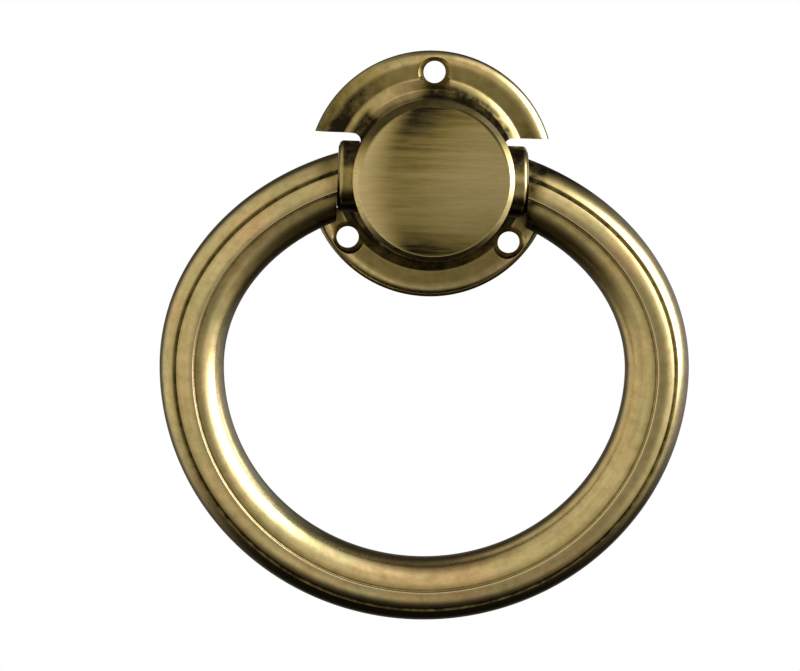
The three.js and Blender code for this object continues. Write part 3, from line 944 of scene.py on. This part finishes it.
def pivot_screw(side, sign):
    """A shoulder screw: a cheese head inside the drum, a plain shoulder and a threaded end."""
    low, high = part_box(f"{side}_pivot_screw")
    head_radius = (high.z - low.z) / 2
    inside, tip = sorted((abs(low.x), abs(high.x)))
    head_outside = inside + PIVOT_HEAD_LENGTH
    corners = [
        (0, inside),
        (head_radius, inside),
        (head_radius, head_outside),
        (SHOULDER_RADIUS, head_outside),
        (SHOULDER_RADIUS, SHOULDER_END),
        (PIVOT_THREAD_RADIUS - THREAD_DEPTH, SHOULDER_END),
    ]
    profile = rounded(corners, [0, 0.4 * MM, 0.2 * MM, 0, 0.2 * MM, 0])
    profile += thread(PIVOT_THREAD_RADIUS, SHOULDER_END + 0.2 * MM, tip - THREAD_STOP)
    profile += [(PIVOT_THREAD_RADIUS - TIP_TAPER, tip), (0, tip)]
    piece = lathe(f"{side}_pivot_screw_body", profile, 64, "X", PIVOT, sign)
    socket = bar("socket", SOCKET_RADIUS, inside - 1 * MM, inside + SOCKET_DEPTH, "X", PIVOT, sign, 6)
    boolean(piece, [socket])
    return piece


def bush(side, sign):
    """A flanged bush: its flange stands a little proud of the collar and meets the ring's end."""
    low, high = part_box(f"{side}_bush")
    flange_radius = (high.z - low.z) / 2
    inside, face = sorted((abs(low.x), abs(high.x)))
    flange_back = face - BUSH_FLANGE
    corners = [
        (BUSH_BORE, inside),
        (BUSH_RADIUS, inside),
        (BUSH_RADIUS, flange_back),
        (flange_radius, flange_back),
        (flange_radius, face),
        (BUSH_BORE, face),
        (BUSH_BORE, inside),
    ]
    profile = rounded(corners, [0, 0.3 * MM, 0, 0.15 * MM, 0.15 * MM, 0.15 * MM, 0])
    return lathe(f"{side}_bush_body", profile, 96, "X", PIVOT, sign)


def washer(side, sign):
    low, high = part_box(f"{side}_washer")
    radius = (high.z - low.z) / 2
    inside, outside = sorted((abs(low.x), abs(high.x)))
    corners = [
        (WASHER_BORE, inside),
        (radius, inside),
        (radius, outside),
        (WASHER_BORE, outside),
        (WASHER_BORE, inside),
    ]
    profile = rounded(corners, [0, 0.2 * MM, 0.1 * MM, 0.1 * MM, 0])
    return lathe(f"{side}_washer_body", profile, 64, "X", PIVOT, sign)


# ---------- camera, light, floor ----------

CAMERA_TARGET = Vector((-5.9, -9.0, -36.1)) * MM
CAMERA_DISTANCE = 0.6
CAMERA_ELEVATION = math.radians(8.1)
CAMERA_YAW = math.radians(1.9)
CAMERA_ROLL = math.radians(2.1)
CAMERA_LENS = 119.3
CAMERA_SENSOR = 36
CAMERA_CLIP = (0.01, 200)
VIEW_GAMMA = 0.82

FLOOR_REACH = 30.0
FLOOR_DROP = 12 * MM

WARM = (1.0, 0.985, 0.95)
COOL = (0.90, 0.98, 1.22)
NEUTRAL = (0.96, 0.99, 1.05)
AMBIENT = (0.012, 0.011, 0.010)

# Patches of the studio: azimuth, elevation, full within and none beyond, in degrees, and strength
SOFTBOX = (74, 18, 24, 35, 3.5)
UPPER_LIGHT = (50, 50, 8, 32, 0.7)
HALO = (78, 4, 15, 48, 0.35)
SIDE_LIGHT = (118, 8, 15, 45, 0.40)
BACKDROP = (180, -12, 22, 45, 0.12)
DARK_ROOM = (16, -13, 14, 24, 0.52)
PHOTOGRAPHER = (-1, -4, 1, 7, 0.40)


def toward(azimuth, elevation):
    """Unit vector from the object. Azimuth 0 is straight out of the door, more is to the viewer's right."""
    a, e = math.radians(azimuth), math.radians(elevation)
    return Vector((math.sin(a) * math.cos(e), -math.cos(a) * math.cos(e), math.sin(e)))


def camera():
    away = toward(-math.degrees(CAMERA_YAW), math.degrees(CAMERA_ELEVATION))
    right = (-away).cross(Vector((0, 0, 1))).normalized()
    up = right.cross(-away)
    c, s = math.cos(CAMERA_ROLL), math.sin(CAMERA_ROLL)
    rolled_right = right * c + up * s
    rolled_up = up * c - right * s
    turn = Matrix((rolled_right, rolled_up, away)).transposed().to_4x4()
    data = bpy.data.cameras.new("camera")
    data.lens = CAMERA_LENS
    data.sensor_width = CAMERA_SENSOR
    data.clip_start, data.clip_end = CAMERA_CLIP
    piece = bpy.data.objects.new("camera", data)
    bpy.context.scene.collection.objects.link(piece)
    piece.matrix_world = Matrix.Translation(CAMERA_TARGET + away * CAMERA_DISTANCE) @ turn
    bpy.context.scene.camera = piece


def patch(s, direction, azimuth, elevation, inner, outer, strength):
    """A round patch of the studio: full within inner degrees of its centre, none beyond outer."""
    near = s.vector("DOT_PRODUCT", direction, tuple(toward(azimuth, elevation)))
    return s.ramp(near, math.cos(math.radians(outer)), math.cos(math.radians(inner)), 0.0, strength, True)


def studio():
    """A broad warm fill all round the front, darker about the camera, a cool softbox at the right
    and a pale backdrop. Seen directly, the surroundings are plain white."""
    world = bpy.data.worlds.new("studio")
    bpy.context.scene.world = world
    s = Shader(world)
    direction = s.coordinates("Generated")
    height = s.parts(direction)[2]

    ahead = s.vector("DOT_PRODUCT", direction, tuple(toward(-18, 0)))
    round_front = s.ramp(ahead, math.cos(math.radians(126)), math.cos(math.radians(94)), 0.05, 1.0, True)
    over_floor = s.ramp(height, math.sin(math.radians(-56)), math.sin(math.radians(-24)), 0.0, 1.0, True)
    under_roof = s.ramp(height, math.sin(math.radians(52)), 1.0, 1.0, 0.35, True)
    dark_room = s.math("SUBTRACT", 1.0, patch(s, direction, *DARK_ROOM))
    photographer = s.math("SUBTRACT", 1.0, patch(s, direction, *PHOTOGRAPHER))
    fill = s.product(round_front, over_floor, under_roof, dark_room, photographer, 0.90)
    lights = s.total(*[patch(s, direction, *light) for light in (SOFTBOX, UPPER_LIGHT, HALO, SIDE_LIGHT)])

    colour = s.mix(1.0, fill, WARM, "MULTIPLY")
    cool = s.mix(1.0, s.product(lights, over_floor), COOL, "MULTIPLY")
    pale = s.mix(1.0, patch(s, direction, *BACKDROP), NEUTRAL, "MULTIPLY")
    for more in (cool, pale, AMBIENT):
        colour = s.mix(1.0, colour, more, "ADD")

    lit = s.nodes.new("ShaderNodeBackground")
    s.feed(lit.inputs["Color"], colour)
    plain = s.nodes.new("ShaderNodeBackground")
    plain.inputs["Color"].default_value = (1, 1, 1, 1)
    rays = s.nodes.new("ShaderNodeLightPath")
    choice = s.nodes.new("ShaderNodeMixShader")
    s.feed(choice.inputs["Fac"], rays.outputs["Is Camera Ray"])
    s.feed(choice.inputs[1], lit.outputs["Background"])
    s.feed(choice.inputs[2], plain.outputs["Background"])
    output = s.nodes.new("ShaderNodeOutputWorld")
    s.feed(output.inputs["Surface"], choice.outputs["Shader"])


def floor():
    size = FLOOR_REACH
    height = RING_LOW.z - FLOOR_DROP
    corners = [(-size, -size, height), (size, -size, height), (size, size, height), (-size, size, height)]
    piece = mesh_object("floor", corners, [(0, 1, 2, 3)])
    material = bpy.data.materials.new("pale_floor")
    s = Shader(material)
    shine = s.nodes.new("ShaderNodeEmission")
    shine.inputs["Color"].default_value = (1, 1, 1, 1)
    output = s.nodes.new("ShaderNodeOutputMaterial")
    s.feed(output.inputs["Surface"], shine.outputs["Emission"])
    piece.data.materials.append(material)
    piece.visible_glossy = False
    piece.visible_diffuse = False


# ---------- assembly ----------

def brass_pieces():
    ring_brass = antique_brass("antique_brass_ring", ring_patina_and_painted_shade, (0.22, 4, 1), 9.0, 0.24, coordinates="UV",
                               speckle=0.5, wear=0.15)
    plate_brass = antique_brass("antique_brass_plate", plate_patina_and_painted_shade, (1, 1, 1), 600.0, 0.2, speckle=0.5)
    hub_brass = antique_brass("antique_brass_hub", hub_painted_shade, (1, 1, 1), 600.0, 0.18)
    cap_brass = antique_brass("brushed_brass_cap", cap_patina_and_painted_shade, (0.05, 1, 1), 1500.0, 0.27, 0.55, bump=0.08,
                              speckle=0.08, wear=0.25, tint=0.3)
    made = (
        (ring(), ring_brass, "antique_brass", "ring", "ring"),
        (backplate(), plate_brass, "antique_brass", "mount", "backplate"),
        (hub(), hub_brass, "antique_brass", "mount", "hub_housing"),
        (cap(), cap_brass, "brushed_brass", "mount", "front_cap"),
    )
    for piece, material, slot, body, node in made:
        smooth_shade(piece)
        give(piece, material, slot, body, node)


def small_pieces():
    steel = plain_metal("zinc_plated_steel", STEEL_COLOURS, 0.28, 0.42)
    bush_brass = plain_metal("turned_brass", BUSH_COLOURS, 0.3, 0.45)
    for node, place in fixing_places().items():
        piece = fixing_screw(node, place)
        smooth_shade(piece)
        give(piece, steel, "screw_steel", "mount", node)
    for side, sign in SIDES:
        made = (
            (bush(side, sign), bush_brass, "bush_brass", "mount", f"{side}_bush"),
            (washer(side, sign), steel, "screw_steel", "mount", f"{side}_washer"),
            (pivot_screw(side, sign), steel, "screw_steel", "ring", f"{side}_pivot_screw"),
            (set_screw(side), steel, "screw_steel", "ring", f"{side}_set_screw"),
        )
        for piece, material, slot, body, node in made:
            smooth_shade(piece)
            give(piece, material, slot, body, node)


brass_pieces()
small_pieces()
studio()
floor()
camera()

bpy.context.scene.view_settings.view_transform = "Standard"
bpy.context.scene.view_settings.gamma = VIEW_GAMMA
